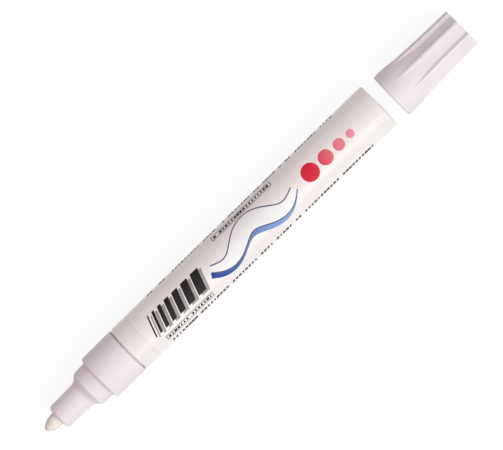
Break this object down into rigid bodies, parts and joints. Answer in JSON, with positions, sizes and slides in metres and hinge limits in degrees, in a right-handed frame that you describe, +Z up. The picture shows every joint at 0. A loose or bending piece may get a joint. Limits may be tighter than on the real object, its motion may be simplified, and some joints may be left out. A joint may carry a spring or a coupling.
{
  "type": "paint marker",
  "caption": "Valve action paint marker with a bullet nib, stepped nose and round barrel, its fluted cap taken off and lying behind the tail.",
  "frame": {"origin": "on the floor below the middle of the marker and its cap as they lie", "axes": "+X along the marker from nib to tail, the cap beyond the tail; +Z up, away from the floor"},
  "size_m": [0.1652, 0.0156, 0.0151],
  "materials": {
    "barrel_enamel": "white enamel on an aluminium tube, satin",
    "barrel_film": "thin clear-coated white printed film",
    "moulded_white": "injection moulded, faintly pink white, soft gloss",
    "nib_fibre": "pressed acrylic fibre, matt cream",
    "valve_plastic": "natural moulded plastic",
    "washer_rubber": "soft black rubber",
    "spring_steel": "drawn stainless wire",
    "ball_steel": "polished steel ball",
    "liner_plastic": "natural polyethylene"
  },
  "bodies": {
    "barrel": {"barrel_tube": "barrel_enamel", "barrel_film": "barrel_film", "nose_section": "moulded_white", "valve_seat": "valve_plastic", "spring_cage": "valve_plastic", "valve_spring": "spring_steel"},
    "nib_unit": {"nib": "nib_fibre", "valve_stem": "valve_plastic", "valve_washer": "washer_rubber"},
    "ball": {"mixing_ball": "ball_steel"},
    "cap": {"cap_shell": "moulded_white", "inner_cap": "liner_plastic"}
  },
  "joints": [
    {"name": "nib_press", "type": "slide", "parent": "barrel", "child": "nib_unit", "axis": [1, 0, 0], "range_m": [0, 0.0015], "stiffness_N_per_m": 500, "springref_m": -0.002, "deforming": ["valve_spring"]},
    {"name": "ball_roll", "type": "slide", "parent": "barrel", "child": "ball", "axis": [1, 0, 0], "range_m": [-0.0427, 0.0349]},
    {"name": "cap_pull", "type": "slide", "parent": "barrel", "child": "cap", "axis": [1, 0, 0], "range_m": [-0.0035, 0.03]}
  ]
}
